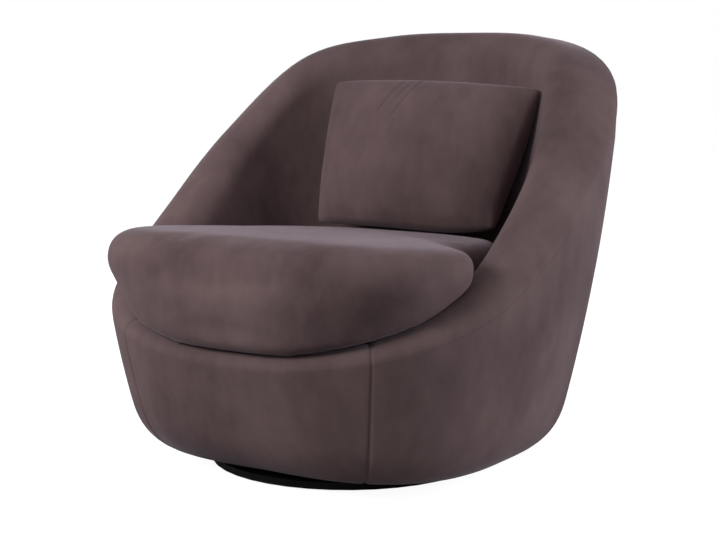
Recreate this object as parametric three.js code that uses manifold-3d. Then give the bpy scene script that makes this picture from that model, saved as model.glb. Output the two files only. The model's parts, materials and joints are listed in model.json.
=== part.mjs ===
import * as THREE from "three";
import { mergeVertices } from "three/addons/utils/BufferGeometryUtils.js";
import Module from "manifold-3d";

// A swivel tub chair in millimetres, +Z up. The sitter faces -Y, the origin is on the floor on the
// swivel axis, and angles round that axis are in degrees from the front, towards +X.

// Clearances
const seatGap = 0.3; // between pieces that touch
const cushionClearance = 4; // between the loose seat cushion and the tub
const pillowClearance = 0.5; // between the loose pillow and what it leans on

// Plan of the tub at its reference height
const planHeight = 400;
const halfWidth = 421;
const frontReach = 369;
const backReach = 436.5;
const frontSquareness = 2.65; // exponent of the front half of the plan, 2 is an ellipse
const backSquareness = 2.5;

// Outer face of the tub
const sideLean = 0.117; // outward run of the wall for one unit of height
const frontLean = 0.008;
const backLean = 0.226;
const sideBow = 33.5; // how far the wall draws in a whole plan height above or below the plan
const frontBow = 81;
const backBow = 6;
const hemHeight = 24;
const hemTuck = 20;
const cornerHeight = 89.5;
const cornerDepth = 85.5;
const cornerFullShare = 0.985;
const cornerSquareness = 2.6;

// Rim of the tub
const frontCrest = 243;
const backCrest = 764;
const crestShares = [0, 0.012, 0.078, 0.217, 0.411, 0.658, 0.911, 0.986, 1]; // of the climb, front to back
const frontRimDrop = 24;
const armRimDrop = 45.5;
const backRimDrop = 57;
const frontRimWidth = 32.5;
const armRimWidth = 70.5;
const backRimWidth = 88;
const innerRimDrop = 71;
const innerRimWidth = 58;
const innerTaper = 0.08; // how fast the padding thickens downwards
const armRimFrom = 25;
const armRimTo = 75;
const backRimFrom = 95;
const backRimTo = 155;
const seamAngle = 39.1; // the front panel lies between two upright seams
const coverThickness = 3;
const clothThickness = 2;
const dustClothThickness = 0.8;

// Swivel base
const glideHeight = 2;
const glideRadius = 15;
const glideCount = 6;
const glideInset = 40;
const plinthRadius = 244;
const plinthThickness = 15;
const plinthEdge = 2;
const plateSize = 200;
const plateThickness = 2;
const plateHoleInset = 20;
const plateOpening = 50;
const ballRadius = 4;
const ballCount = 12;
const raceRadius = 70;
const raceWidth = 12;
const collarThickness = 2;
const collarHeight = 6;
const cageThickness = 2;
const screwRadius = 2;
const screwHeadRadius = 4.5;
const screwHeadHeight = 2.4;
const screwDepth = 9;
const boltRadius = 2.6;
const boltHeadRadius = 5;
const boltHeadHeight = 3.2;
const boltDepth = 14;

// Frame
const boardThickness = 18;
const boardOpening = 30;
const panelThickness = 12;
const panelFootInset = 62;
const panelHeadInset = 15;
const panelHeadClearance = 15;
const frontPanelAngle = 33.75;
const backPanelAngle = 112.5;
const postSize = 36;
const postSetback = 38;
const postAngles = [60, 120, 180, 240, 300];
const seatRingHeight = 170;
const seatRingThickness = 18;
const seatRingShelf = 60;

// Seat springs and deck
const wireRadius = 1.8;
const springShares = [-0.75, -0.25, 0.25, 0.75]; // of the half spread
const springSpread = 180;
const springWaveCount = 5;
const springWaveSteps = 5;
const tailShares = [0, 0.3, 0.6, 0.8];
const springSideCount = 4;
const springSwing = 22;
const springRise = 8;
const springTail = 22;
const clipLength = 14;
const clipThickness = 1.5;
const clipInset = 14;
const deckThickness = 15;
const deckClearance = 1.5; // between the deck pad and the inner cover

// Padding joints
const frontPadAngle = 56.25;
const backPadAngle = 123.75;

// Seat cushion
const seatHeight = 425;
const seatSlope = 0.0745;
const seatCrown = 8;
const seatHalfWidth = 370;
const seatReach = 364.5;
const seatSquareness = 3.6;
const seatFrontInset = 20; // from the cushion's edge to its foot on the rim
const seatSideInset = 18;
const seatFootSquareness = 2.7;
const seatFootRun = 8; // least run from the foot to the next corner of the underside
const seatEdge = 53.5;
const seatBackEdge = 40;
const seatShoulderRise = 18; // of the rim, over which the cushion draws in between the arms
const seatShoulderAngles = [62, 65, 66.5, 68.5, 69.25, 70, 71.25, 73.75]; // its further corners there
const seatSideRun = 4;
const seatSideSteps = 3;
const seatSideCurve = 1.5;
const seatTopShares = [0.4, 0.75, 1];

// Pillow
const pillowWidth = 455;
const pillowHeight = 288;
const pillowThickness = 110;
const pillowPullShare = 0.03; // how far the sides draw in between the corners
const pillowFootShare = 0.1; // how much narrower its foot is
const pillowCornerRise = 20; // of the lower corner that the near arm pushes up
const pillowFullness = 0.45;
const pillowSquareness = 2.6;
const pillowTilt = 17.5;
const pillowYaw = -1;
const pillowRoll = 1.3;
const pillowAcross = 20;
const pillowAcrossSteps = 12;
const pillowUpSteps = 10;
const pillowSettleTurns = 5;
const pillowSettleShare = 0.5; // of the room that is taken at each turn

// Fineness of the curved faces
const sectorStep = 11.25;
const cornerShares = [0, 0.05, 0.17, 0.4, 0.7, 1];
const sideShares = [0.5, 1];
const wallShares = [0.33, 0.67, 1];
const rimSteps = 4;
const roundSegments = 40;
const smallSegments = 10;

// Heights that follow from the pieces below
const plinthBottom = glideHeight + seatGap;
const plinthTop = plinthBottom + plinthThickness;
const lowerPlateBottom = plinthTop + seatGap;
const lowerPlateTop = lowerPlateBottom + plateThickness;
const ballMiddle = lowerPlateTop + seatGap + ballRadius;
const upperPlateBottom = ballMiddle + ballRadius + seatGap;
const upperPlateTop = upperPlateBottom + plateThickness;
const boardBottom = upperPlateTop + seatGap;
const boardTop = boardBottom + boardThickness;
const panelFoot = boardTop + seatGap;
const ringTop = seatRingHeight + seatRingThickness;
const wallFoot = ringTop + seatGap;
const wireHeight = wallFoot + wireRadius;
const deckBottom = wireHeight + springRise + wireRadius + seatGap;
const deckTop = deckBottom + deckThickness;
const bedHeight = deckTop + seatGap;

const fullTurn = 360;
const halfTurn = fullTurn / 2;
const quarterTurn = Math.PI / 2;
const { degToRad, radToDeg, clamp, lerp, smoothstep } = THREE.MathUtils;
const library = await Module();
library.setup();

const velvet = { color: 0x6f5c5f, roughness: 0.85, metalness: 0 };
const linen = { color: 0xd8d2c6, roughness: 0.9, metalness: 0 };
const foam = { color: 0xe9dfc2, roughness: 0.95, metalness: 0 };
const fibre = { color: 0xf1efe9, roughness: 0.95, metalness: 0 };
const plywood = { color: 0xc19a6b, roughness: 0.7, metalness: 0 };
const softwood = { color: 0xd9b98a, roughness: 0.75, metalness: 0 };
const blackGloss = { color: 0x08080a, roughness: 0.2, metalness: 0.1 };
const blackCloth = { color: 0x1a1a1c, roughness: 0.95, metalness: 0 };
const zincSteel = { color: 0xb9bdc2, roughness: 0.35, metalness: 0.9 };
const springSteel = { color: 0x6d7278, roughness: 0.4, metalness: 0.9 };
const rubber = { color: 0x2a2a2a, roughness: 0.9, metalness: 0 };

const chair = new THREE.Group();

function add(name, geometry, finish) {
  const mesh = new THREE.Mesh(geometry, new THREE.MeshStandardMaterial(finish));
  mesh.name = name;
  chair.add(mesh);
  return mesh;
}

// Solids

function orderedVolume(vertices, triangles) {
  const cross = new THREE.Vector3();
  return triangles.reduce((sum, [a, b, c]) => {
    return sum + vertices[a].dot(cross.crossVectors(vertices[b], vertices[c]));
  }, 0);
}

// One closed surface that faces out, from points and index triples; triples that have shrunk to a line go.
function closedGeometry(vertices, triangles) {
  const places = new Map();
  const kept = [];
  const weld = vertices.map((v) => {
    const key = v.toArray().map((c) => Math.round(c * 1e4)).join();
    if (!places.has(key)) places.set(key, kept.push(v) - 1);
    return places.get(key);
  });
  const joined = triangles
    .map((triple) => triple.map((i) => weld[i]))
    .filter(([a, b, c]) => a !== b && b !== c && c !== a);
  const inward = orderedVolume(kept, joined) < 0;
  const geometry = new THREE.BufferGeometry().setFromPoints(kept);
  geometry.setIndex(joined.flatMap(([a, b, c]) => (inward ? [a, c, b] : [a, b, c])));
  geometry.computeVertexNormals();
  return geometry;
}

function signedArea([a, b, c]) {
  return (b.x - a.x) * (c.y - a.y) - (c.x - a.x) * (b.y - a.y);
}

// Index triples that fill one flat section, ordered as its outline runs or the other way.
function capTriangles(section, first, alongOutline) {
  const flat = section.map((v) => new THREE.Vector2(Math.hypot(v.x, v.y), v.z));
  const outlineSign = Math.sign(THREE.ShapeUtils.area(flat));
  return THREE.ShapeUtils.triangulateShape(flat, []).map((triple) => {
    const same = Math.sign(signedArea(triple.map((i) => flat[i]))) === outlineSign;
    const [a, b, c] = triple.map((i) => i + first);
    return same === alongOutline ? [a, b, c] : [a, c, b];
  });
}

// Whether the next section lies further from the front than this one.
function leavesFront(section, next) {
  const away = (v) => Math.atan2(Math.abs(v.x), -v.y);
  const j = section.findIndex((v) => Math.hypot(v.x, v.y) > seatGap);
  return away(section[j]) < away(next[j]);
}

// A closed solid through sections of equally many points: a ring, or a length with two flat ends.
// Each four-cornered facet is split the same way on nested pieces, and mirrored left and right;
// from the point where a section turns back on itself it is split the other way.
function loft(sections, isRing, turnsBackAt = Infinity) {
  const count = sections[0].length;
  const at = (i, j) => (i % sections.length) * count + (j % count);
  const triangles = [];
  for (let i = 0; i < sections.length - (isRing ? 0 : 1); i++) {
    const leaves = leavesFront(sections[i], sections[(i + 1) % sections.length]);
    for (let j = 0; j < count; j++) {
      const [a, b, c, d] = [at(i, j), at(i, j + 1), at(i + 1, j + 1), at(i + 1, j)];
      if (leaves === j < turnsBackAt) triangles.push([a, b, c], [a, c, d]);
      else triangles.push([a, b, d], [b, c, d]);
    }
  }
  if (!isRing) {
    const last = sections.length - 1;
    triangles.push(...capTriangles(sections[0], 0, false));
    triangles.push(...capTriangles(sections[last], last * count, true));
  }
  return closedGeometry(sections.flat(), triangles);
}

function toSolid(geometry) {
  const bare = geometry.clone();
  bare.deleteAttribute("normal");
  bare.deleteAttribute("uv");
  const merged = mergeVertices(bare);
  const vertProperties = merged.attributes.position.array;
  const triVerts = new Uint32Array(merged.index.array);
  return new library.Manifold(new library.Mesh({ numProp: 3, vertProperties, triVerts }));
}

function toGeometry(solid) {
  const { vertProperties, triVerts } = solid.getMesh();
  const geometry = new THREE.BufferGeometry();
  geometry.setAttribute("position", new THREE.BufferAttribute(vertProperties, 3));
  geometry.setIndex(new THREE.BufferAttribute(triVerts, 1));
  geometry.computeVertexNormals();
  return geometry;
}

const joined = (first, others) =>
  toGeometry(others.map(toSolid).reduce((a, b) => a.add(b), toSolid(first)));
const cut = (first, others) =>
  toGeometry(others.map(toSolid).reduce((a, b) => a.subtract(b), toSolid(first)));

// Directions and places round the swivel axis

const place = (angle, radius, z) =>
  new THREE.Vector3(radius * Math.sin(degToRad(angle)), -radius * Math.cos(degToRad(angle)), z);
const placeAll = (angle, outline) => outline.map((p) => place(angle, p.x, p.y));
const point = (radius, z) => new THREE.Vector2(radius, z);
const facesFront = (angle) => Math.cos(degToRad(angle)) > 0;
const stepsTo = (count) => Array.from({ length: count }, (_, i) => (i + 1) / count);

// Degrees away from the front, whichever way round.
function awayFromFront(angle) {
  const wrapped = ((angle % fullTurn) + fullTurn) % fullTurn;
  return Math.min(wrapped, fullTurn - wrapped);
}

// Angles at which every piece round the tub has its corners, so that nested facets stay parallel.
const withBothSides = (angles, more) =>
  [...new Set([...angles, ...more, ...more.map((a) => fullTurn - a)])].sort((a, b) => a - b);
const gridAngles = withBothSides(
  Array.from({ length: Math.round(fullTurn / sectorStep) }, (_, i) => i * sectorStep),
  [seamAngle, frontPanelAngle, backPanelAngle, frontPadAngle, backPadAngle],
);

function gridBetween(from, to) {
  const turns = [-1, 0, 1, 2].flatMap((k) => gridAngles.map((a) => a + k * fullTurn));
  return turns.filter((a) => a > from && a < to);
}

// A section at any angle, on the facets between the two grid angles beside it.
function sectionAt(angle, outlineOf) {
  const low = Math.max(...gridBetween(angle - fullTurn, angle));
  const high = Math.min(...gridBetween(angle, angle + fullTurn));
  const before = outlineOf(low);
  const after = outlineOf(high);
  return before.map((p, i) => {
    const q = after[i];
    const nearLow = q.x * Math.sin(degToRad(high - angle));
    const nearHigh = p.x * Math.sin(degToRad(angle - low));
    const share = nearHigh / (nearHigh + nearLow);
    return place(low, p.x, p.y).lerp(place(high, q.x, q.y), share);
  });
}

// A closed piece from one angle to another, each end drawn back by half a gap at the swivel plate's reach.
function sector(from, to, outlineOf, turnsBackAt) {
  const drawBack = radToDeg(seatGap / plateSize);
  const ends = [from + drawBack, to - drawBack];
  const inner = gridBetween(ends[0], ends[1]).map((a) => placeAll(a, outlineOf(a)));
  return loft([sectionAt(ends[0], outlineOf), ...inner, sectionAt(ends[1], outlineOf)], false, turnsBackAt);
}

const fullRing = (angles, outlineOf, turnsBackAt) =>
  loft(angles.map((a) => placeAll(a, outlineOf(a))), true, turnsBackAt);

function circle(radius, segments = smallSegments, x = 0, y = 0) {
  const turns = Array.from({ length: segments }, (_, i) => (i * 2 * Math.PI) / segments);
  return turns.map((t) => new THREE.Vector2(x + radius * Math.cos(t), y + radius * Math.sin(t)));
}

// A flat board of the outline, with holes, from a height upwards.
function board(outline, holes, bottom, thickness) {
  const shape = new THREE.Shape(outline);
  shape.holes = holes.map((hole) => new THREE.Path(hole));
  const flat = new THREE.ExtrudeGeometry(shape, { depth: thickness, bevelEnabled: false });
  return flat.translate(0, 0, bottom);
}

const tubOutline = (radiusOf) =>
  gridAngles.map((a) => place(a, radiusOf(a), 0)).map((v) => new THREE.Vector2(v.x, v.y));

// Shape of the tub

// Radius of a rounded rectangle about the axis; its squareness 2 is an ellipse.
function superellipse(angle, width, reach, squareness) {
  const across = Math.abs(Math.sin(degToRad(angle))) / width;
  const along = Math.abs(Math.cos(degToRad(angle))) / reach;
  return (across ** squareness + along ** squareness) ** (-1 / squareness);
}

function planRadius(angle) {
  if (facesFront(angle)) return superellipse(angle, halfWidth, frontReach, frontSquareness);
  return superellipse(angle, halfWidth, backReach, backSquareness);
}

// The wall's lean and bow, which change smoothly from the front or back to the sides.
function wallSlant(angle) {
  const sideways = Math.sin(degToRad(angle)) ** 2;
  const [lean, bow] = facesFront(angle) ? [frontLean, frontBow] : [backLean, backBow];
  return { lean: lerp(lean, sideLean, sideways), bow: lerp(bow, sideBow, sideways) };
}

function outerRadius(angle, z) {
  const rise = z - planHeight;
  const tuck = clamp((hemHeight + cornerHeight - z) / cornerHeight, 0, 1);
  const round = (1 - cornerFullShare * tuck ** cornerSquareness) ** (1 / cornerSquareness);
  const { lean, bow } = wallSlant(angle);
  return planRadius(angle) + lean * rise - bow * (rise / planHeight) ** 2 - cornerDepth * (1 - round);
}

// A smooth curve through the crest heights, level at the front and at the back.
function crestHeight(angle) {
  const steps = crestShares.length - 1;
  const at = (awayFromFront(angle) / halfTurn) * steps;
  const i = Math.min(Math.floor(at), steps - 1);
  const u = at - i;
  const [a, b, c, d] = [-1, 0, 1, 2].map((k) => crestShares[steps - Math.abs(steps - Math.abs(i + k))]);
  const curve = (c - a) * u + (2 * a - 5 * b + 4 * c - d) * u ** 2 + (3 * b - a - 3 * c + d) * u ** 3;
  return lerp(frontCrest, backCrest, b + curve / 2);
}

function rimAt(angle) {
  const away = awayFromFront(angle);
  const arm = smoothstep(away, armRimFrom, armRimTo);
  const back = smoothstep(away, backRimFrom, backRimTo);
  const crest = crestHeight(angle);
  const outerDrop = lerp(lerp(frontRimDrop, armRimDrop, arm), backRimDrop, back);
  const outerWidth = lerp(lerp(frontRimWidth, armRimWidth, arm), backRimWidth, back);
  const innerDrop = lerp(frontRimWidth, innerRimDrop, arm);
  const shoulder = outerRadius(angle, crest - outerDrop);
  const spread = (outerRadius(angle, crest) - shoulder) / 2;
  const radius = shoulder + spread - outerWidth;
  return { crest, outerDrop, outerWidth, innerDrop, shoulder, spread, radius };
}

// The face of the padding that the sitter leans on.
function innerRadius(angle, z) {
  const rim = rimAt(angle);
  const top = rim.crest - rim.innerDrop;
  const followed = outerRadius(angle, top) - outerRadius(angle, z);
  return rim.radius - innerRimWidth - followed - innerTaper * (top - z);
}

// The covered wall in one upright plane: up the outside, over the rim and down to the deck.
function wallOutline(angle) {
  const rim = rimAt(angle);
  const hem = outerRadius(angle, hemHeight);
  const shoulderHeight = rim.crest - rim.outerDrop;
  const cornerTop = hemHeight + cornerHeight;
  const innerTop = rim.crest - rim.innerDrop;
  const quarter = stepsTo(rimSteps).map((share) => share * quarterTurn);
  const heights = [
    ...cornerShares.map((share) => hemHeight + share * cornerHeight),
    ...sideShares.map((share) => lerp(cornerTop, shoulderHeight, share)),
  ];
  return [
    point(hem - hemTuck, boardBottom - seatGap),
    point(hem - hemTuck, hemHeight),
    ...heights.map((z) => point(outerRadius(angle, z), z)),
    ...quarter.map((t) => {
      const out = rim.spread * Math.sin(t) - rim.outerWidth * (1 - Math.cos(t));
      return point(rim.shoulder + out, shoulderHeight + rim.outerDrop * Math.sin(t));
    }),
    ...quarter.map((t) =>
      point(rim.radius - innerRimWidth * Math.sin(t), rim.crest - rim.innerDrop * (1 - Math.cos(t)))),
    ...wallShares.map((share) => {
      const z = lerp(innerTop, wallFoot, share);
      return point(innerRadius(angle, z), z);
    }),
  ];
}
const shoulderIndex = 1 + cornerShares.length + sideShares.length;
const crestIndex = shoulderIndex + rimSteps;
const bedCrestIndex = rimSteps / 2; // the cushion's bed starts halfway up the outside of the rim

// Moves an outline sideways, mitred at its corners; its two ends slide along "x" or rise straight along "y".
function offset(outline, distance, endAxis) {
  const normal = (a, b) => new THREE.Vector2(a.y - b.y, b.x - a.x).normalize();
  return outline.map((p, i) => {
    const before = i > 0 ? normal(outline[i - 1], p) : null;
    const after = i < outline.length - 1 ? normal(p, outline[i + 1]) : null;
    const moved = p.clone();
    if (before && after) {
      return moved.addScaledVector(before.clone().add(after), distance / (1 + before.dot(after)));
    }
    const { x, y } = before || after;
    if (endAxis === "x") moved.x += distance / x;
    else moved.y += distance * Math.sign(y);
    return moved;
  });
}

// Shortens an outline's first stretch by the gap that it keeps to its neighbour.
function trimStart(outline, distance) {
  const [first, second] = outline;
  const step = second.clone().sub(first).setLength(distance);
  return [first.clone().add(step), ...outline.slice(1)];
}

// A cover's section between two corners of the wall's outline.
function coverOutline(angle, from, to, gapAtStart) {
  const outer = wallOutline(angle);
  const sides = [outer, offset(outer, coverThickness, "x")].map((side) => {
    const run = side.slice(from, to);
    return gapAtStart ? trimStart(run, seatGap) : run;
  });
  return [...sides[0], ...sides[1].reverse()];
}

// Frame inside the wall

const boardRadius = (angle) => outerRadius(angle, panelFoot) - panelFootInset;
const panelHead = (angle) => rimAt(angle).crest - rimAt(angle).outerDrop - panelHeadClearance;

// Outer face of the bent panel, which leans out from the board's edge to the shoulder of the rim.
function panelRadius(angle, z) {
  const head = panelHead(angle);
  const share = (z - panelFoot) / (head - panelFoot);
  return lerp(boardRadius(angle), outerRadius(angle, head) - panelHeadInset, share);
}

function panelOutline(angle) {
  const head = panelHead(angle);
  const heights = [panelFoot, seatRingHeight, wallFoot, head];
  return [
    ...heights.map((z) => point(panelRadius(angle, z) - panelThickness, z)),
    point(panelRadius(angle, head), head),
    point(panelRadius(angle, panelFoot), panelFoot),
  ];
}

// The padding wraps the panel's two faces and the edge of the base board.
function paddingOutline(angle) {
  const head = panelHead(angle);
  const insideFoot = panelRadius(angle, wallFoot) - panelThickness - seatGap;
  const insideHead = panelRadius(angle, head) - panelThickness - seatGap;
  return [
    ...offset(wallOutline(angle), coverThickness + seatGap, "x"),
    point(insideFoot, wallFoot),
    point(insideHead, head + seatGap),
    point(panelRadius(angle, head) + seatGap, head + seatGap),
    point(boardRadius(angle) + seatGap, panelFoot),
    point(boardRadius(angle) + seatGap, boardBottom - seatGap),
  ];
}

const ringOuterRadius = (angle) => panelRadius(angle, seatRingHeight) - panelThickness - seatGap;
const ringInnerRadius = (angle) => innerRadius(angle, wallFoot) - seatRingShelf;

// Swivel base

const cylinder = (radius, height, bottom, segments = smallSegments) =>
  board(circle(radius, segments), [], bottom, height);

// A turned pin through radius and height pairs from its tip to the far side of its head.
function headedPin(profile) {
  const points = profile.map(([radius, z]) => point(radius, z));
  return new THREE.LatheGeometry(points, smallSegments).rotateX(quarterTurn);
}

const cornerPlaces = (() => {
  const far = plateSize / 2 - plateHoleInset;
  return [[1, 1], [-1, 1], [-1, -1], [1, -1]].map(([i, j]) => [i * far, j * far]);
})();

function addGlides() {
  add("centre_glide", cylinder(glideRadius, glideHeight, 0), rubber);
  for (let i = 0; i < glideCount; i++) {
    const { x, y } = place((i * fullTurn) / glideCount, plinthRadius - glideInset, 0);
    add(`glide_${i + 1}`, cylinder(glideRadius, glideHeight, 0), rubber).position.set(x, y, 0);
  }
}

function addPlinth() {
  const profile = [
    point(0, plinthBottom),
    point(plinthRadius - plinthEdge, plinthBottom),
    point(plinthRadius, plinthBottom + plinthEdge),
    point(plinthRadius, plinthTop - plinthEdge),
    point(plinthRadius - plinthEdge, plinthTop),
    point(0, plinthTop),
  ];
  const disc = new THREE.LatheGeometry(profile, roundSegments).rotateX(quarterTurn);
  const depth = screwDepth + seatGap;
  const pilots = cornerPlaces.map(([x, y]) =>
    board(circle(screwRadius + seatGap, smallSegments, x, y), [], plinthTop - depth, 2 * depth));
  add("plinth", cut(disc, pilots), blackGloss);
}

function squarePlate(bottom, holeRadius) {
  const half = plateSize / 2;
  const square = [[1, 1], [-1, 1], [-1, -1], [1, -1]].map(([i, j]) => new THREE.Vector2(i * half, j * half));
  const holes = cornerPlaces.map(([x, y]) => circle(holeRadius, smallSegments, x, y));
  return board(square, [circle(plateOpening, roundSegments / 2), ...holes], bottom, plateThickness);
}

function collar(radius, bottom) {
  const outline = circle(radius + collarThickness, roundSegments / 2);
  return board(outline, [circle(radius, roundSegments / 2)], bottom, collarHeight + plateThickness / 2);
}

function addSwivel() {
  const lower = squarePlate(lowerPlateBottom, screwRadius + seatGap);
  const innerReach = raceRadius - raceWidth / 2 - 2 * collarThickness;
  const innerCollar = collar(innerReach, lowerPlateTop - plateThickness / 2);
  add("lower_swivel_plate", joined(lower, [innerCollar]), zincSteel);
  const upper = squarePlate(upperPlateBottom, boltRadius + seatGap);
  const outerReach = raceRadius + raceWidth / 2 + collarThickness;
  const outerCollar = collar(outerReach, upperPlateBottom - collarHeight);
  add("upper_swivel_plate", joined(upper, [outerCollar]), zincSteel);
  const rim = circle(raceRadius + raceWidth / 2, roundSegments / 2);
  const hole = circle(raceRadius - raceWidth / 2, roundSegments / 2);
  const cage = board(rim, [hole], ballMiddle - cageThickness / 2, cageThickness);
  const balls = Array.from({ length: ballCount }, (_, i) => {
    const { x, y, z } = place((i * fullTurn) / ballCount, raceRadius, ballMiddle);
    return new THREE.OctahedronGeometry(ballRadius, 1).translate(x, y, z);
  });
  add("ball_cage", joined(cage, balls), zincSteel);
}

function addFasteners() {
  const screwTip = plinthTop - screwDepth;
  const screwSeat = lowerPlateTop + seatGap;
  const screwHead = screwSeat + screwHeadHeight;
  const screw = headedPin([
    [0, screwTip], [screwRadius, screwTip], [screwRadius, screwSeat],
    [screwHeadRadius, screwSeat], [screwHeadRadius, screwHead], [0, screwHead],
  ]);
  const boltTip = boardBottom + boltDepth;
  const boltSeat = upperPlateBottom - seatGap;
  const boltHead = boltSeat - boltHeadHeight;
  const bolt = headedPin([
    [0, boltHead], [boltHeadRadius, boltHead], [boltHeadRadius, boltSeat],
    [boltRadius, boltSeat], [boltRadius, boltTip], [0, boltTip],
  ]);
  cornerPlaces.forEach(([x, y], i) => {
    add(`lower_plate_screw_${i + 1}`, screw, zincSteel).position.set(x, y, 0);
    add(`upper_plate_bolt_${i + 1}`, bolt, zincSteel).position.set(x, y, 0);
  });
}

// Frame

function addBoards() {
  const holes = cornerPlaces.map(([x, y]) => circle(boltRadius + seatGap, smallSegments, x, y));
  holes.push(circle(boardOpening));
  add("base_board", board(tubOutline(boardRadius), holes, boardBottom, boardThickness), plywood);
  const ringHole = tubOutline(ringInnerRadius);
  const ring = board(tubOutline(ringOuterRadius), [ringHole], seatRingHeight, seatRingThickness);
  add("seat_ring", ring, plywood);
  add("front_board", sector(-frontPanelAngle, frontPanelAngle, panelOutline), plywood);
  add("side_board_right", sector(frontPanelAngle, backPanelAngle, panelOutline), plywood);
  add("back_board", sector(backPanelAngle, fullTurn - backPanelAngle, panelOutline), plywood);
  add("side_board_left", sector(-backPanelAngle, -frontPanelAngle, panelOutline), plywood);
}

function addPosts() {
  const height = seatRingHeight - seatGap - panelFoot;
  postAngles.forEach((angle, i) => {
    const post = new THREE.BoxGeometry(postSize, postSize, height);
    const mesh = add(`post_${i + 1}`, post, softwood);
    mesh.position.copy(place(angle, boardRadius(angle) - postSetback, panelFoot + height / 2));
    mesh.rotation.z = degToRad(angle);
  });
}

// How far along Y, forwards or backwards, the seat ring's hole reaches at a place across.
function ringReach(x, backwards) {
  let [low, high] = [0, halfTurn / 2];
  for (let i = 0; i < roundSegments; i++) {
    const middle = (low + high) / 2;
    const side = place(backwards ? halfTurn - middle : middle, 1, 0);
    const radius = ringInnerRadius(backwards ? halfTurn - middle : middle);
    if (radius * side.x < Math.abs(x)) low = middle;
    else high = middle;
  }
  const angle = backwards ? halfTurn - low : low;
  return place(angle, ringInnerRadius(angle), 0).y;
}

function springGeometry(x, front, back) {
  const bends = springWaveCount * springWaveSteps;
  const [start, end] = [front + springTail, back - springTail];
  const wave = Array.from({ length: bends + 1 }, (_, i) => {
    const t = i / bends;
    const swing = springSwing * Math.sin(2 * Math.PI * springWaveCount * t);
    const rise = springRise * Math.sin(Math.PI * t);
    return new THREE.Vector3(x + swing, lerp(start, end, t), wireHeight + rise);
  });
  const tail = (from, to) =>
    tailShares.map((share) => new THREE.Vector3(x, lerp(from, to, share), wireHeight));
  const points = [...tail(front, start), ...wave, ...tail(back, end).reverse()];
  const path = new THREE.CatmullRomCurve3(points);
  const wire = new THREE.Shape(circle(wireRadius, springSideCount));
  const steps = bends + 2 * tailShares.length;
  return new THREE.ExtrudeGeometry(wire, { steps, extrudePath: path, bevelEnabled: false });
}

// A bridge over the spring's tail, open below.
function clipGeometry() {
  const reach = wireRadius + seatGap;
  const wide = reach + clipThickness;
  const top = 2 * wireRadius + seatGap;
  const outline = [
    [wide, 0], [wide, top + clipThickness], [-wide, top + clipThickness],
    [-wide, 0], [-reach, 0], [-reach, top], [reach, top], [reach, 0],
  ];
  const shape = new THREE.Shape(outline.map(([x, y]) => new THREE.Vector2(x, y)));
  const bridge = new THREE.ExtrudeGeometry(shape, { depth: clipLength, bevelEnabled: false });
  return bridge.rotateX(quarterTurn).translate(0, clipLength / 2, wallFoot);
}

function addSprings() {
  springShares.forEach((share, i) => {
    const x = share * springSpread;
    const ends = [ringReach(x, false) - clipInset, ringReach(x, true) + clipInset];
    const tips = [ends[0] - clipLength / 2, ends[1] + clipLength / 2];
    add(`seat_spring_${i + 1}`, springGeometry(x, tips[0], tips[1]), springSteel);
    ends.forEach((y, k) => {
      add(`spring_clip_${2 * i + k + 1}`, clipGeometry(), zincSteel).position.set(x, y, 0);
    });
  });
}

// Deck, padding and covers of the tub

function addDeck() {
  const edge = (angle) => innerRadius(angle, deckBottom) - deckClearance;
  add("deck_pad", board(tubOutline(edge), [], deckBottom, deckThickness), foam);
  const hem = (angle) => outerRadius(angle, hemHeight) - hemTuck - seatGap;
  const opening = circle(plateSize / Math.SQRT2 + seatGap, roundSegments);
  const bottom = boardBottom - seatGap - dustClothThickness;
  add("dust_cover", board(tubOutline(hem), [opening], bottom, dustClothThickness), blackCloth);
}

function addPadding() {
  add("front_foam", sector(-frontPadAngle, frontPadAngle, paddingOutline), foam);
  add("arm_foam_right", sector(frontPadAngle, backPadAngle, paddingOutline), foam);
  add("back_foam", sector(backPadAngle, fullTurn - backPadAngle, paddingOutline), foam);
  add("arm_foam_left", sector(-backPadAngle, -frontPadAngle, paddingOutline), foam);
}

function addTubCovers() {
  const whole = (angle) => coverOutline(angle, 0, undefined, false);
  const outside = (angle) => coverOutline(angle, 0, shoulderIndex + 1, false);
  const inside = (angle) => coverOutline(angle, shoulderIndex, undefined, true);
  const halfOf = (outlineOf) => outlineOf(0).length / 2;
  add("front_cover", sector(-seamAngle, seamAngle, whole, halfOf(whole)), velvet);
  add("outer_cover_right", sector(seamAngle, halfTurn, outside, halfOf(outside)), velvet);
  add("outer_cover_left", sector(halfTurn, fullTurn - seamAngle, outside, halfOf(outside)), velvet);
  add("inner_cover", sector(seamAngle, fullTurn - seamAngle, inside, halfOf(inside)), velvet);
}

// Seat cushion

// The tub's rim and inner face with the cushion's clearance, from just outside the crest down past the deck.
const bedOutline = (angle) =>
  offset(wallOutline(angle), -cushionClearance, "x").slice(crestIndex - bedCrestIndex);

// The bed's height at a radius, or its radius at a height inside its crest; past its end both stay level.
function bedAt(bed, axis, value) {
  const other = axis === "x" ? "y" : "x";
  const start = axis === "x" ? 0 : bedCrestIndex;
  if (value >= bed[start][axis]) return bed[start][other];
  for (let i = start + 1; i < bed.length; i++) {
    const [a, b] = [bed[i - 1], bed[i]];
    if (value >= b[axis]) return lerp(b[other], a[other], (value - b[axis]) / (a[axis] - b[axis]));
  }
  return bed[bed.length - 1][other];
}

function seatTop(angle, radius, share) {
  const y = place(angle, radius, 0).y;
  return seatHeight - seatSlope * (y + frontReach) + seatCrown * (1 - share ** 2);
}

// The cushion's plan where it lies over the rim, drawn in by an inset.
function cushionPlan(angle, sideInset, frontInset, squareness) {
  const reach = facesFront(angle) ? seatReach : backReach;
  return superellipse(angle, seatHalfWidth - sideInset, reach - frontInset, squareness);
}

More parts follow.
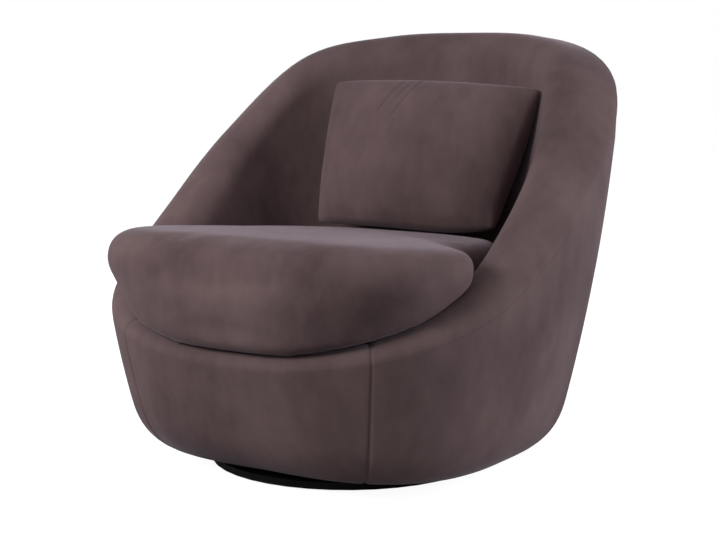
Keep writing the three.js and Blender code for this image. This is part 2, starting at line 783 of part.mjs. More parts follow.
// The cushion's edge in one upright plane: free over the rim, snug between the arms.
function cushionEdge(angle, bed) {
  const crest = bed[bedCrestIndex];
  const level = seatTop(angle, crest.x, 1);
  const inArms = smoothstep(crest.y - level + seatBackEdge, -seatShoulderRise, 0);
  const snug = bedAt(bed, "y", level - seatBackEdge - seatSideRun);
  const edge = lerp(cushionPlan(angle, 0, 0, seatSquareness), snug, inArms);
  const reach = lerp(cushionPlan(angle, seatSideInset, seatFrontInset, seatFootSquareness), snug, inArms);
  const top = seatTop(angle, edge - seatEdge, 1);
  const rounding = clamp(top - crest.y - seatSideRun, seatBackEdge, seatEdge);
  const lowest = top - rounding - seatSideRun;
  const foot = point(reach, bedAt(bed, "x", reach));
  if (foot.y > lowest) foot.set(Math.min(reach, bedAt(bed, "y", lowest)), lowest);
  return { edge, top, rounding, foot };
}

// The cushion's underside from its foot down the bed and along the deck to the middle.
function cushionUnderside(bed, foot) {
  const held = bed.slice(0, -1);
  const onBed = held.filter((p) => p.x < foot.x && p.y > bedHeight && p.distanceTo(foot) > seatFootRun);
  const spare = held.filter((p) => p.y <= bedHeight).length;
  const bedEdge = bedAt(bed, "y", bedHeight);
  const next = onBed[0] || point(bedEdge, bedHeight);
  const above = stepsTo(held.length - onBed.length - spare + 1).slice(0, -1);
  return [
    ...above.map((share) => foot.clone().lerp(next, share)),
    ...onBed,
    ...Array.from({ length: spare + 1 }, (_, i) => point(bedEdge * (1 - i / (spare + 1)), bedHeight)),
    point(0, bedHeight),
  ];
}

// The cushion in one upright plane, from the middle of its top round to the middle of its underside.
function cushionOutline(angle) {
  const bed = bedOutline(angle);
  const { edge, top, rounding, foot } = cushionEdge(angle, bed);
  const flat = edge - seatEdge;
  const side = top - rounding;
  return [
    point(0, seatTop(angle, 0, 0)),
    ...seatTopShares.map((share) => point(flat * share, seatTop(angle, flat * share, share))),
    ...stepsTo(rimSteps).map((share) => {
      const turn = share * quarterTurn;
      return point(flat + seatEdge * Math.sin(turn), top - rounding * (1 - Math.cos(turn)));
    }),
    ...stepsTo(seatSideSteps).map((share) =>
      point(lerp(edge, foot.x, share ** seatSideCurve), lerp(side, foot.y, share))),
    ...cushionUnderside(bed, foot),
  ];
}
const cushionSeamIndex = seatTopShares.length + rimSteps + seatSideSteps;

function clothOutline(angle, from, to, gapAtStart) {
  const outer = cushionOutline(angle);
  const sides = [outer, offset(outer, -clothThickness, "y")].map((side) => {
    const run = side.slice(from, to);
    return gapAtStart ? trimStart(run, seatGap) : run;
  });
  return [...sides[0], ...sides[1].reverse()];
}

function addSeatCushion() {
  const angles = withBothSides(gridAngles, seatShoulderAngles);
  const core = (angle) => offset(cushionOutline(angle), -clothThickness - seatGap, "y");
  add("seat_cushion_foam", fullRing(angles, core), foam);
  const over = (angle) => clothOutline(angle, 0, cushionSeamIndex + 1, false);
  const cover = add("seat_cushion_cover", fullRing(angles, over, over(0).length / 2), velvet);
  const under = (angle) => clothOutline(angle, cushionSeamIndex, undefined, true);
  add("seat_cushion_base_cloth", fullRing(angles, under, under(0).length / 2), linen);
  return cover;
}

// Pillow

// One face of the pillow as rows of points, in its own frame: width X, height Z, front -Y.
function pillowFace(shrink, side, lift) {
  const [width, height] = [pillowWidth - 2 * shrink, pillowHeight - 2 * shrink];
  const depth = pillowThickness / 2 - shrink;
  const spread = (count) =>
    Array.from({ length: count + 1 }, (_, i) => Math.sin((i / count - 1 / 2) * Math.PI));
  return spread(pillowAcrossSteps).map((u) => spread(pillowUpSteps).map((v) => {
    const low = ((1 - v) / 2) ** 2;
    const pullU = 1 - pillowPullShare * (1 - v ** 2) * u ** 4 - pillowFootShare * low;
    const pullV = 1 - pillowPullShare * (1 - u ** 2) * v ** 4;
    const pushed = pillowCornerRise * low * Math.max(u, 0) ** 3;
    const full = (1 - Math.abs(u) ** pillowSquareness) * (1 - Math.abs(v) ** pillowSquareness);
    const y = side * (depth * Math.max(full, 0) ** pillowFullness + lift);
    return new THREE.Vector3((u * width * pullU) / 2, y, (v * height * pullV) / 2 + pushed);
  }));
}

// A closed solid between two faces of equally many rows and points, which share or bridge their edges.
function betweenFaces(faceA, faceB) {
  const rows = faceA.length;
  const count = faceA[0].length;
  const vertices = [...faceA.flat(), ...faceB.flat()];
  const at = (face, i, j) => face * rows * count + i * count + j;
  const triangles = [];
  const quad = (a, b, c, d) => triangles.push([a, b, c], [a, c, d]);
  for (let i = 0; i < rows - 1; i++) {
    for (let j = 0; j < count - 1; j++) {
      quad(at(0, i, j), at(0, i + 1, j), at(0, i + 1, j + 1), at(0, i, j + 1));
      quad(at(1, i, j), at(1, i, j + 1), at(1, i + 1, j + 1), at(1, i + 1, j));
    }
  }
  const border = [
    ...Array.from({ length: rows - 1 }, (_, i) => [i, 0]),
    ...Array.from({ length: count - 1 }, (_, j) => [rows - 1, j]),
    ...Array.from({ length: rows - 1 }, (_, i) => [rows - 1 - i, count - 1]),
    ...Array.from({ length: count - 1 }, (_, j) => [0, count - 1 - j]),
  ];
  border.forEach(([i, j], k) => {
    const [m, n] = border[(k + 1) % border.length];
    quad(at(0, m, n), at(0, i, j), at(1, i, j), at(1, m, n));
  });
  return closedGeometry(vertices, triangles);
}

const pillowCover = (side) =>
  betweenFaces(pillowFace(0, side, seatGap / 2), pillowFace(clothThickness, side, seatGap / 2));

function makePillow() {
  const inside = clothThickness + seatGap;
  const pieces = [
    ["pillow_fill", betweenFaces(pillowFace(inside, -1, 0), pillowFace(inside, 1, 0)), fibre],
    ["pillow_front_cover", pillowCover(-1), velvet],
    ["pillow_back_cover", pillowCover(1), velvet],
  ];
  return pieces.map(([name, geometry, finish]) => {
    geometry.rotateY(degToRad(pillowRoll)).rotateX(-degToRad(pillowTilt)).rotateZ(degToRad(pillowYaw));
    return add(name, geometry, finish);
  });
}

// The corners of a mesh and the middles of its edges.
function samplesOf(mesh) {
  const { position } = mesh.geometry.attributes;
  const index = Array.from(mesh.geometry.index.array);
  const corner = (i) => new THREE.Vector3().fromBufferAttribute(position, i).add(mesh.position);
  const middles = index.map((i, k) => [i, index[k - (k % 3) + ((k + 1) % 3)]]).filter(([i, j]) => i < j);
  return [
    ...Array.from({ length: position.count }, (_, i) => corner(i)),
    ...middles.map(([i, j]) => corner(i).lerp(corner(j), 1 / 2)),
  ];
}

// How far the moving meshes can go in a direction before they meet a resting one.
function roomTowards(moving, resting, direction) {
  const caster = new THREE.Raycaster();
  const reach = (from, targets, along) => {
    caster.set(from, along);
    const hits = caster.intersectObjects(targets, false);
    return hits.length ? hits[0].distance : Infinity;
  };
  const back = direction.clone().negate();
  [...moving, ...resting].forEach((mesh) => mesh.updateMatrixWorld(true));
  const ahead = moving.flatMap(samplesOf).map((v) => reach(v, resting, direction));
  const behind = resting.flatMap(samplesOf).map((v) => reach(v, moving, back));
  return Math.min(...ahead, ...behind);
}

// Lowers the pillow on to the seat and leans it back on the tub, by turns, until it rests on both.
function settlePillow(pillow, resting) {
  const shift = (move) => pillow.forEach((mesh) => mesh.position.add(move));
  shift(new THREE.Vector3(pillowAcross, 0, seatHeight + pillowHeight));
  const down = new THREE.Vector3(0, 0, -1);
  const back = new THREE.Vector3(0, 1, 0);
  const covers = pillow.slice(1);
  const settle = (way, share) => {
    shift(way.clone().multiplyScalar(share * (roomTowards(covers, resting, way) - pillowClearance)));
  };
  for (let turn = 0; turn < pillowSettleTurns; turn++) {
    settle(down, pillowSettleShare);
    settle(back, pillowSettleShare);
  }
  settle(back, 1);
  settle(down, 1);
}

addGlides();
addPlinth();
addSwivel();
addFasteners();
addBoards();
addPosts();
addSprings();
addDeck();
addPadding();
addTubCovers();
const seatCover = addSeatCushion();
settlePillow(makePillow(), [seatCover, chair.getObjectByName("inner_cover")]);

export default chair;
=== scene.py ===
"""A swivel cuddle chair in dusty velvet, dressed round its CAD frame. Metres, +Z up, front -Y."""

import json
import math

import bmesh
import bpy
import numpy as np
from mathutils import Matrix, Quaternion, Vector
from mathutils.bvhtree import BVHTree


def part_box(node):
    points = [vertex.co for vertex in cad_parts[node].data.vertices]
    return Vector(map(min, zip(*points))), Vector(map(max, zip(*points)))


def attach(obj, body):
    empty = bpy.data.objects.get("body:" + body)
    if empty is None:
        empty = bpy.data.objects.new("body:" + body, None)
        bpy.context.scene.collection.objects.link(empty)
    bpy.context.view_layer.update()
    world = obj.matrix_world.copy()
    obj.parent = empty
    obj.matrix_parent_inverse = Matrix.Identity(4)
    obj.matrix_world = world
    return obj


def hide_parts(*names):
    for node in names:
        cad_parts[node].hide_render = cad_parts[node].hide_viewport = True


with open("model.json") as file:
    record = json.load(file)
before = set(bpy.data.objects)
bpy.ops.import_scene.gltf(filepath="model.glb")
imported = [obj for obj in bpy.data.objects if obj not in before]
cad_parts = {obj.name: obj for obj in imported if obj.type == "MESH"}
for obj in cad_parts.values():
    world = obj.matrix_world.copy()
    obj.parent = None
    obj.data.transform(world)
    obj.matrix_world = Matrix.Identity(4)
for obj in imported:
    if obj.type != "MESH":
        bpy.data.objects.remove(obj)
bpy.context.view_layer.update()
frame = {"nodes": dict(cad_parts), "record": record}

# Plan of the tub at its reference height
PLAN_HEIGHT = 0.400
HALF_WIDTH = 0.421
FRONT_REACH = 0.369
BACK_REACH = 0.4365
FRONT_SQUARENESS = 2.65
BACK_SQUARENESS = 2.5

# Outer face of the tub: its lean, and how far it draws in a whole plan height above or below the plan
SIDE_SLANT = (0.117, 0.0335)
FRONT_SLANT = (0.008, 0.081)
BACK_SLANT = (0.226, 0.006)
HEM_HEIGHT = 0.024
HEM_TUCK = 0.020
CORNER_HEIGHT = 0.0895
CORNER_DEPTH = 0.0855
CORNER_FULL_SHARE = 0.985
CORNER_SQUARENESS = 2.6
CORNER_STEP_GROWTH = 1.6  # its steps lie closer at the hem

# Rim of the tub
FRONT_CREST = 0.243
BACK_CREST = 0.764
CREST_SHARES = [0, 0.012, 0.078, 0.217, 0.411, 0.658, 0.911, 0.986, 1]
RIM_DROPS = (0.024, 0.0455, 0.057)  # front, arm, back
RIM_WIDTHS = (0.0325, 0.0705, 0.088)
INNER_RIM_DROPS = (0.0325, 0.071)  # front, arm
INNER_RIM_WIDTH = 0.058
INNER_TAPER = 0.08
ARM_RIM = (25, 75)
BACK_RIM = (95, 155)
SEAM_ANGLE = 39.1
FRONT_PAD_ANGLE = 56.25
BACK_PAD_ANGLE = 123.75

# Seat cushion
SEAT_HEIGHT = 0.425
SEAT_SLOPE = 0.0745
SEAT_CROWN = 0.008
SEAT_HALF_WIDTH = 0.370
SEAT_REACH = 0.3645
SEAT_SQUARENESS = 3.6
SEAT_INSETS = (0.010, 0.004)  # from the edge to the foot, at the side and at the front
SEAT_FOOT_SQUARENESS = 2.7
SEAT_EDGE = 0.0535
SEAT_EDGE_SQUARENESS = 2.5
SEAT_FOOT_ROUNDING = 0.012
SEAT_FOOT_LIFT = 0.011  # how far its front stands off the rim
SEAT_BACK_EDGE = 0.040
SEAT_ARM_EDGE = 0.030
SEAT_TIP_TUCK = 0.013
SEAT_TIP = (44, 62, 76, 92)  # angles: the right tip tucks in over the first two, and out over the others
SEAT_LEFT_NARROWING = (70, 95)  # angles over which the left edge's rounding gets as tight as in the arms
SEAT_SHOULDER_RISE = 0.018
SEAT_SIDE_RUN = 0.004
SEAT_SIDE_BEND = 1.5
SEAT_HELD_RISE = 0.06  # height over the front rim up to which the tub holds the cushion's shape
SEAT_REST_GAP = 0.002
UNDERSIDE_TOP = 0.245
UNDERSIDE_RADIUS = 0.30
CUSHION_CLEARANCE = 0.004

# Pillow
PILLOW_HALF_SIZE = (0.2275, 0.144)
PILLOW_GROWTH = 1.012
PILLOW_CROWN = 0.016
PILLOW_TOP_RISE = 0.010
PILLOW_SQUEEZE = 0.018
PILLOW_TOP = 0.140
# Gathers at its top edge: each one's place across, low end and depth
PILLOW_CREASES = ((-0.045, 0.055, 0.0022), (-0.024, 0.075, 0.0015), (-0.006, 0.045, 0.0020))
CREASE_LEAN = 0.45
CREASE_WIDTH = 0.0035
CREASE_RUN = 0.03
CREASE_TOP_RUN = 0.02
CREASE_TOP_SHARE = 0.5  # of its depth, at the pillow's top edge
PILLOW_RIM = (0.82, 0.95)  # shares of half its size over which the stuffing stops lifting the cover
PILLOW_REST_GAP = 0.0004

# Stuffing: size of the mesh, how far the cloth may swell, and its stiffness when stretched and bent
SEAT_VOXEL = 0.006
SEAT_SWELL = 0.006
SEAT_STIFFNESS = (40, 8.0)
PILLOW_VOXEL = 0.005
PILLOW_SWELL = 0.010
PILLOW_STIFFNESS = (20, 1.0)
STUFFING_PRESSURE = 4.0
STUFFING_FRAMES = 20
LEAST_PIN = 0.01
CLEARING_REACH = 0.03
CLEARING_ROUNDS = 3

# Covers, padding and boards
GAP = 0.0003
COVER_THICKNESS = 0.003
PANEL_THICKNESS = 0.012
PANEL_FOOT_INSET = 0.062
PANEL_HEAD_INSET = 0.015
PANEL_HEAD_CLEARANCE = 0.015
DECK_CLEARANCE = 0.002
DECK_RINGS = (0.3, 0.6, 0.9)  # shares of its radius
DUST_CLOTH_HOLE = 0.1418
DUST_CLOTH_SAG = 0.0004
DUST_CLOTH_WAVES = 18
SEAM_DEPTH = 0.0022
SEAM_WIDTH = 0.0035
ROLL_SEAM_WIDTH = 0.007
ROLL_SEAM_FRONT = 0.35  # share of the seam's depth at the front
ROLL_SEAM_ANGLES = (50, 85)  # between which it gets its whole depth

# Steps of the meshes, in degrees and in numbers along a section
GRID_STEP = 2.5
PLAIN_STEP = 3
SEAM_STEPS = (0.1, 0.25, 0.45, 0.7, 1.0, 1.5)
SEAM_MARGIN = 1.8  # only the seam's own steps lie this near to it
PANEL_END = 0.02  # how far a cover stops before its seam
CORNER_STEPS = 12
SIDE_STEPS = 14
RIM_STEPS = 12
WALL_STEPS = 14
SEAT_TOP_STEPS = 30
SEAT_SIDE_STEPS = 12
SEAT_FOOT_STEPS = 5
SEAT_UNDER_STEPS = 40
DECK_EDGE_STEPS = 6
DUST_CLOTH_STEPS = 8
SHARP_ANGLE = 50
MERGE_DISTANCE = 1e-6
SHOULDER = 2 + CORNER_STEPS + SIDE_STEPS  # the shoulder's place among the points of a wall's outline
BED_CREST = RIM_STEPS // 2  # the crest's place among the points of a bed's outline

# Camera that the photograph was taken from
CAMERA_AZIMUTH = 33.723
CAMERA_DISTANCE = 2.7619
CAMERA_HEIGHT = 0.7074
CAMERA_TARGET = Vector((0.0292, -0.0102, 0.3420))
CAMERA_ROLL = 0.087
CAMERA_LENS = 78.54
CAMERA_SENSOR = 36

# Floor and light
FLOOR_HALF = 9
FLOOR_DROP = 0.0005
FLOOR_SHADE = 0.22
FLOOR_GLOW = 0.94
AMBIENT = 0.36
LAMP_AIM = Vector((0, 0, 0.35))

BOARD_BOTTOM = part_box("base_board")[0].z
PANEL_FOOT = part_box("front_board")[0].z
WALL_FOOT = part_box("seat_ring")[1].z + GAP
BED_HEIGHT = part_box("deck_pad")[1].z + GAP


# Materials


def linear(*srgb):
    """A colour given as 0 to 255 the way a screen shows it, as Blender holds it."""
    return tuple(((c / 255 + 0.055) / 1.055) ** 2.4 if c > 10 else c / 255 / 12.92 for c in srgb) + (1,)


class Nodes:
    """A material's node tree, with short calls for the nodes that these finishes use."""

    def __init__(self, name, color, roughness, metallic=0.0):
        self.material = bpy.data.materials.new(name)
        self.material.use_nodes = True
        self.tree = self.material.node_tree
        self.shader = self.tree.nodes["Principled BSDF"]
        self.set(**{"Base Color": color, "Roughness": roughness, "Metallic": metallic})
        self.place = self.tree.nodes.new("ShaderNodeTexCoord").outputs["Object"]

    def set(self, **values):
        for name, value in values.items():
            self.shader.inputs[name].default_value = value

    def link(self, source, target):
        self.tree.links.new(source, target)

    def stretched(self, scale):
        mapping = self.tree.nodes.new("ShaderNodeMapping")
        mapping.inputs["Scale"].default_value = scale
        self.link(self.place, mapping.inputs["Vector"])
        return mapping.outputs["Vector"]

    def noise(self, scale, detail=3.0, where=None, roughness=0.5):
        node = self.tree.nodes.new("ShaderNodeTexNoise")
        node.inputs["Scale"].default_value = scale
        node.inputs["Detail"].default_value = detail
        node.inputs["Roughness"].default_value = roughness
        self.link(where or self.place, node.inputs["Vector"])
        return node.outputs["Fac"]

    def wave(self, scale, direction, distortion=0.0, where=None):
        node = self.tree.nodes.new("ShaderNodeTexWave")
        node.bands_direction = direction
        node.inputs["Scale"].default_value = scale
        node.inputs["Distortion"].default_value = distortion
        self.link(where or self.place, node.inputs["Vector"])
        return node.outputs["Fac"]

    def ramp(self, value, stops):
        node = self.tree.nodes.new("ShaderNodeValToRGB")
        points = node.color_ramp.elements
        while len(points) < len(stops):
            points.new(0.5)
        for point, (at, color) in zip(points, stops):
            point.position = at
            point.color = color
        self.link(value, node.inputs["Fac"])
        return node.outputs["Color"]

    def mixed(self, share, first, second):
        node = self.tree.nodes.new("ShaderNodeMix")
        node.data_type = "RGBA"
        for source, name in ((share, "Factor"), (first, "A"), (second, "B")):
            socket = node.inputs[name]
            if hasattr(source, "is_linked"):
                self.link(source, socket)
            else:
                socket.default_value = source
        return node.outputs["Result"]

    def to_range(self, value, low, high):
        node = self.tree.nodes.new("ShaderNodeMapRange")
        node.inputs["To Min"].default_value = low
        node.inputs["To Max"].default_value = high
        self.link(value, node.inputs["Value"])
        return node.outputs["Result"]

    def bump(self, height, distance, below=None):
        node = self.tree.nodes.new("ShaderNodeBump")
        node.inputs["Distance"].default_value = distance
        self.link(height, node.inputs["Height"])
        if below:
            self.link(below, node.inputs["Normal"])
        return node.outputs["Normal"]

    def finish(self, color=None, roughness=None, normal=None):
        for source, name in ((color, "Base Color"), (roughness, "Roughness"), (normal, "Normal")):
            if source:
                self.link(source, self.shader.inputs[name])
        return self.material


def velvet():
    n = Nodes("dusty_velvet", linear(92, 74, 75), roughness=0.85)
    n.set(**{"Sheen Weight": 0.32, "Sheen Roughness": 0.3, "Sheen Tint": linear(218, 208, 224)})
    n.set(**{"Specular IOR Level": 0.15})
    clouds = n.noise(scale=5.0, detail=2.0)
    brushed = n.noise(scale=9.0, detail=3.0, where=n.stretched((1.0, 1.0, 0.6)), roughness=0.55)
    pile = n.noise(scale=1400.0, detail=2.0)
    soft = n.ramp(clouds, [(0.34, linear(72, 55, 57)), (0.66, linear(110, 90, 90))])
    nap = n.ramp(brushed, [(0.36, linear(74, 57, 60)), (0.64, linear(109, 89, 90))])
    color = n.mixed(0.5, soft, nap)
    strokes = n.noise(scale=38.0, detail=4.0, where=n.stretched((1.0, 1.0, 0.45)), roughness=0.6)
    stroked = n.ramp(strokes, [(0.36, linear(64, 50, 53)), (0.64, linear(120, 100, 100))])
    color = n.mixed(0.14, color, stroked)
    grain = n.ramp(pile, [(0.3, linear(66, 52, 54)), (0.75, linear(118, 98, 98))])
    color = n.mixed(0.22, color, grain)
    normal = n.bump(brushed, distance=0.0012)
    normal = n.bump(pile, distance=0.0004, below=normal)
    return n.finish(color, n.to_range(brushed, low=0.75, high=0.95), normal)


def woven(name, light, dark, scale):
    """A plain weave, finer with a higher scale."""
    n = Nodes(name, light, roughness=0.9)
    warp = n.wave(scale, "X")
    weft = n.wave(scale, "Y")
    threads = n.mixed(0.5, warp, weft)
    slubs = n.noise(scale=60.0, detail=4.0, where=n.stretched((1.0, 0.1, 1.0)))
    color = n.mixed(slubs, n.ramp(threads, [(0.2, dark), (0.8, light)]), light)
    return n.finish(color, None, n.bump(threads, distance=0.0003))


def foam(name, light, dark):
    n = Nodes(name, light, roughness=0.95)
    cells = n.noise(scale=500.0, detail=3.0)
    clouds = n.noise(scale=6.0, detail=3.0)
    color = n.ramp(n.mixed(0.5, cells, clouds), [(0.35, dark), (0.65, light)])
    return n.finish(color, None, n.bump(cells, distance=0.0006))


def timber(name, light, dark, bands):
    n = Nodes(name, light, roughness=0.65)
    grain = n.wave(bands, "Z", distortion=6.0, where=n.stretched((1.0, 0.15, 1.0)))
    fibres = n.noise(scale=120.0, detail=4.0, where=n.stretched((1.0, 0.06, 1.0)))
    color = n.ramp(n.mixed(0.5, grain, fibres), [(0.3, dark), (0.7, light)])
    return n.finish(color, n.to_range(fibres, low=0.55, high=0.8), n.bump(fibres, distance=0.0002))


def steel(name, light, dark, roughness):
    n = Nodes(name, light, roughness, metallic=1.0)
    spangle = n.noise(scale=180.0, detail=2.0)
    scratches = n.noise(scale=90.0, detail=5.0, where=n.stretched((1.0, 12.0, 1.0)))
    color = n.ramp(spangle, [(0.35, dark), (0.65, light)])
    gloss = n.to_range(scratches, roughness * 0.7, roughness * 1.4)
    return n.finish(color, gloss, n.bump(scratches, distance=0.00005))


def black_lacquer():
    n = Nodes("black_lacquer", linear(9, 9, 10), roughness=0.16)
    n.set(**{"Specular IOR Level": 0.2, "Coat Weight": 0.12, "Coat Roughness": 0.06})
    smudges = n.noise(scale=14.0, detail=4.0)
    orange_peel = n.noise(scale=260.0, detail=2.0)
    color = n.ramp(smudges, [(0.3, linear(7, 7, 8)), (0.7, linear(13, 12, 13))])
    return n.finish(color, n.to_range(smudges, low=0.12, high=0.26), n.bump(orange_peel, distance=0.00003))


def glide_rubber():
    n = Nodes("glide_rubber", linear(34, 34, 35), roughness=0.85)
    specks = n.noise(scale=420.0, detail=3.0)
    color = n.ramp(specks, [(0.35, linear(26, 26, 27)), (0.65, linear(44, 43, 43))])
    return n.finish(color, n.to_range(specks, low=0.75, high=0.95), n.bump(specks, distance=0.0002))


VELVET = velvet()
LINING = woven("lining_cloth", linear(205, 199, 190), linear(168, 161, 151), scale=75.0)
BLACK_CLOTH = woven("black_cloth", linear(36, 36, 38), linear(20, 20, 21), scale=60.0)
FOAM = foam("foam", linear(222, 212, 188), linear(198, 186, 158))
MATERIALS = {
    "plywood": timber("plywood", linear(203, 172, 128), linear(162, 124, 80), bands=40.0),
    "softwood": timber("softwood", linear(219, 190, 142), linear(184, 146, 96), bands=26.0),
    "black_lacquer": black_lacquer(),
    "zinc_steel": steel("zinc_steel", linear(196, 199, 204), linear(164, 168, 174), 0.32),
    "spring_steel": steel("spring_steel", linear(132, 136, 142), linear(98, 102, 108), 0.38),
    "glide_rubber": glide_rubber(),
}


# Shape of the tub


def smooth(value, low, high):
    t = np.clip((value - low) / (high - low), 0, 1)
    return t * t * (3 - 2 * t)


def mix(a, b, share):
    return a + (b - a) * share


def away_from_front(angle):
    wrapped = angle % 360
    return min(wrapped, 360 - wrapped)


def faces_right(angle):
    return math.sin(math.radians(angle)) > 0


def faces_front(angle):
    return math.cos(math.radians(angle)) > 0


def superellipse(angle, width, reach, squareness):
    """Radius of a rounded rectangle about the axis; its squareness 2 is an ellipse."""
    across = abs(math.sin(math.radians(angle))) / width
    along = abs(math.cos(math.radians(angle))) / reach
    return (across**squareness + along**squareness) ** (-1 / squareness)


def plan_radius(angle):
    if faces_front(angle):
        return superellipse(angle, HALF_WIDTH, FRONT_REACH, FRONT_SQUARENESS)
    return superellipse(angle, HALF_WIDTH, BACK_REACH, BACK_SQUARENESS)


def outer_radius(angle, z):
    sideways = math.sin(math.radians(angle)) ** 2
    slants = zip(FRONT_SLANT if faces_front(angle) else BACK_SLANT, SIDE_SLANT)
    lean, bow = (mix(end, side, sideways) for end, side in slants)
    rise = z - PLAN_HEIGHT
    tuck = min(max((HEM_HEIGHT + CORNER_HEIGHT - z) / CORNER_HEIGHT, 0), 1)
    rounding = (1 - CORNER_FULL_SHARE * tuck**CORNER_SQUARENESS) ** (1 / CORNER_SQUARENESS)
    corner = CORNER_DEPTH * (1 - rounding)
    return plan_radius(angle) + lean * rise - bow * (rise / PLAN_HEIGHT) ** 2 - corner


def crest_height(angle):
    """A smooth curve through the crest's heights, level at the front and at the back."""
    steps = len(CREST_SHARES) - 1
    at = away_from_front(angle) / 180 * steps
    i = min(int(at), steps - 1)
    u = at - i
    a, b, c, d = (CREST_SHARES[steps - abs(steps - abs(i + k))] for k in (-1, 0, 1, 2))
    curve = (c - a) * u + (2 * a - 5 * b + 4 * c - d) * u**2 + (3 * b - a - 3 * c + d) * u**3
    return mix(FRONT_CREST, BACK_CREST, b + curve / 2)


def rim_at(angle):
    away = away_from_front(angle)
    arm, back = smooth(away, *ARM_RIM), smooth(away, *BACK_RIM)
    crest = crest_height(angle)
    drop = mix(mix(RIM_DROPS[0], RIM_DROPS[1], arm), RIM_DROPS[2], back)
    width = mix(mix(RIM_WIDTHS[0], RIM_WIDTHS[1], arm), RIM_WIDTHS[2], back)
    shoulder = outer_radius(angle, crest - drop)
    spread = (outer_radius(angle, crest) - shoulder) / 2
    return {
        "crest": crest,
        "drop": drop,
        "width": width,
        "inner_drop": mix(INNER_RIM_DROPS[0], INNER_RIM_DROPS[1], arm),
        "shoulder": shoulder,
        "spread": spread,
        "radius": shoulder + spread - width,
    }


def inner_radius(angle, z):
    rim = rim_at(angle)
    top = rim["crest"] - rim["inner_drop"]
    followed = outer_radius(angle, top) - outer_radius(angle, z)
    return rim["radius"] - INNER_RIM_WIDTH - followed - INNER_TAPER * (top - z)


def wall_outline(angle):
    """The covered wall in one upright plane: up the outside, over the rim and down to the deck."""
    rim = rim_at(angle)
    hem = outer_radius(angle, HEM_HEIGHT)
    shoulder_height = rim["crest"] - rim["drop"]
    corner_top = HEM_HEIGHT + CORNER_HEIGHT
    inner_top = rim["crest"] - rim["inner_drop"]
    points = [(hem - HEM_TUCK, BOARD_BOTTOM - GAP), (hem - HEM_TUCK, HEM_HEIGHT)]
    shares = [(i / CORNER_STEPS) ** CORNER_STEP_GROWTH for i in range(CORNER_STEPS + 1)]
    heights = [HEM_HEIGHT + CORNER_HEIGHT * share for share in shares]
    heights += [mix(corner_top, shoulder_height, (i + 1) / SIDE_STEPS) for i in range(SIDE_STEPS)]
    points += [(outer_radius(angle, z), z) for z in heights]
    for i in range(RIM_STEPS):
        t = (i + 1) / RIM_STEPS * math.pi / 2
        out = rim["spread"] * math.sin(t) - rim["width"] * (1 - math.cos(t))
        points.append((rim["shoulder"] + out, shoulder_height + rim["drop"] * math.sin(t)))
    for i in range(RIM_STEPS):
        t = (i + 1) / RIM_STEPS * math.pi / 2
        z = rim["crest"] - rim["inner_drop"] * (1 - math.cos(t))
        points.append((rim["radius"] - INNER_RIM_WIDTH * math.sin(t), z))
    for i in range(WALL_STEPS):
        z = mix(inner_top, WALL_FOOT, (i + 1) / WALL_STEPS)
        points.append((inner_radius(angle, z), z))
    return np.array(points)


def normals(outline):
    """Outward side of an outline at each of its points; its ends keep to their first and last stretch."""
    steps = np.diff(outline, axis=0)
    sides = np.stack([-steps[:, 1], steps[:, 0]], 1)
    sides /= np.linalg.norm(sides, axis=1)[:, None]
    before = np.vstack([sides[:1], sides])
    after = np.vstack([sides, sides[-1:]])
    return (before + after) / (1 + (before * after).sum(1))[:, None]


def offset(outline, distance):
    """Moves an outline inwards by a distance, or by one distance for each point; its two ends stay level."""
    moved = outline + normals(outline) * np.reshape(distance, (-1, 1))
    for end, beside in ((0, 1), (-1, -2)):
        step = outline[beside] - outline[end]
        if abs(step[1]) > abs(step[0]):
            moved[end, 1] = outline[end, 1]
    return moved


def seam_dips(angle, seams, points):
    """How far a cover draws in towards the upright seams that bound it."""
    radius = np.abs(points[:, 0])
    away = min(abs((angle - seam + 180) % 360 - 180) for seam in seams)
    return SEAM_DEPTH * np.exp(-((np.radians(away) * radius / SEAM_WIDTH) ** 2))


def cover_outline(angle, start, stop, seams, dips_at=None):
    """A cover's section: its visible side, drawn in at its seams, and back along its inside."""
    outline = wall_outline(angle)
    run = np.concatenate([[0], np.cumsum(np.linalg.norm(np.diff(outline, axis=0), axis=1))])
    dip = seam_dips(angle, seams, outline)
    if dips_at is not None:
        share = mix(ROLL_SEAM_FRONT, 1, smooth(away_from_front(angle), *ROLL_SEAM_ANGLES))
        roll = share * SEAM_DEPTH * np.exp(-(((run - run[dips_at]) / ROLL_SEAM_WIDTH) ** 2))
        dip = np.maximum(dip, roll)
    outside = offset(outline, dip)[start:stop]
    inside = offset(outline, COVER_THICKNESS)[start:stop]
    if start:
        first_step = outline[start + 1] - outline[start]
        gap = first_step / np.linalg.norm(first_step) * GAP
        outside[0] += gap
        inside[0] += gap
    return np.vstack([outside, inside[::-1]])


def board_radius(angle):
    return outer_radius(angle, PANEL_FOOT) - PANEL_FOOT_INSET


def panel_head(angle):
    rim = rim_at(angle)
    return rim["crest"] - rim["drop"] - PANEL_HEAD_CLEARANCE


def panel_radius(angle, z):
    head = panel_head(angle)
    share = (z - PANEL_FOOT) / (head - PANEL_FOOT)
    return mix(board_radius(angle), outer_radius(angle, head) - PANEL_HEAD_INSET, share)


def padding_outline(angle):
    """The padding wraps the bent panel's two faces and the edge of the base board."""
    head = panel_head(angle)
    skin = offset(wall_outline(angle), COVER_THICKNESS + GAP)
    clear = 4 * GAP
    inside = PANEL_THICKNESS + clear
    return np.vstack(
        [
            skin,
            (panel_radius(angle, WALL_FOOT) - inside, WALL_FOOT),
            (panel_radius(angle, head) - inside, head + clear),
            (panel_radius(angle, head) + clear, head + clear),
            (board_radius(angle) + clear, PANEL_FOOT),
            (board_radius(angle) + clear, BOARD_BOTTOM - GAP),
        ]
    )


# Meshes


